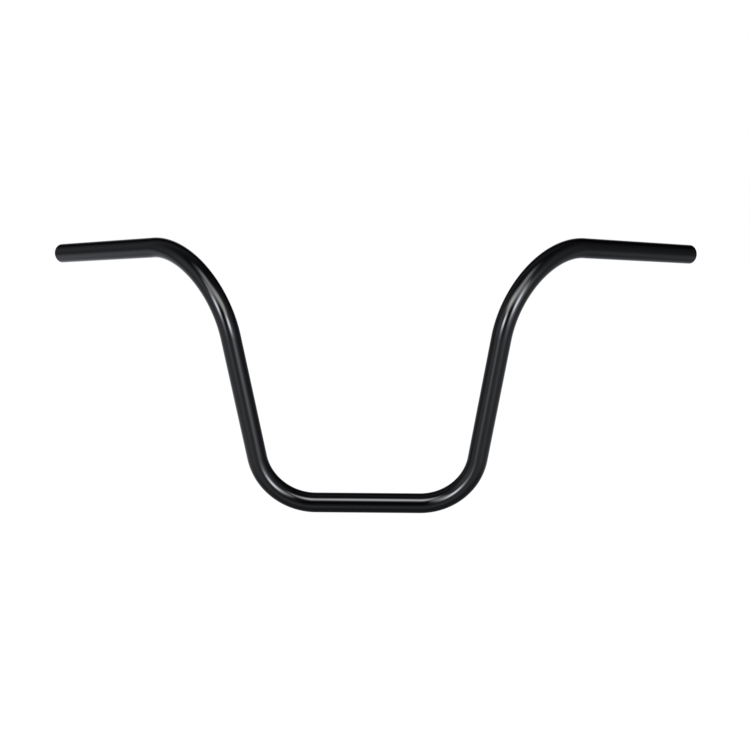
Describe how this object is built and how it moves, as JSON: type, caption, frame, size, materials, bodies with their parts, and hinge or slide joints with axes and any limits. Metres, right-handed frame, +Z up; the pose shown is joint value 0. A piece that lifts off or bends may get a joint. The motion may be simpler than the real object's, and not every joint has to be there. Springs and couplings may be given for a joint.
{
  "type": "ape hanger handlebar",
  "caption": "High-rise ape hanger handlebar: a bent round tube with a straight clamping base, tall splayed uprights and grips swept back to the rider, in gloss black.",
  "frame": {"origin": "on the tube axis at the middle of the straight base, where the risers clamp the bar", "axes": "+X along the base, to the right seen from in front of the motorcycle; +Y back to the rider, the way the grips are swept; +Z up, with the uprights in the XZ plane"},
  "size_m": [0.8668, 0.2572, 0.341],
  "materials": {
    "black_tube": "gloss black powder coat on steel tube"
  },
  "bodies": {
    "root": {"handlebar": "black_tube"}
  },
  "joints": []
}
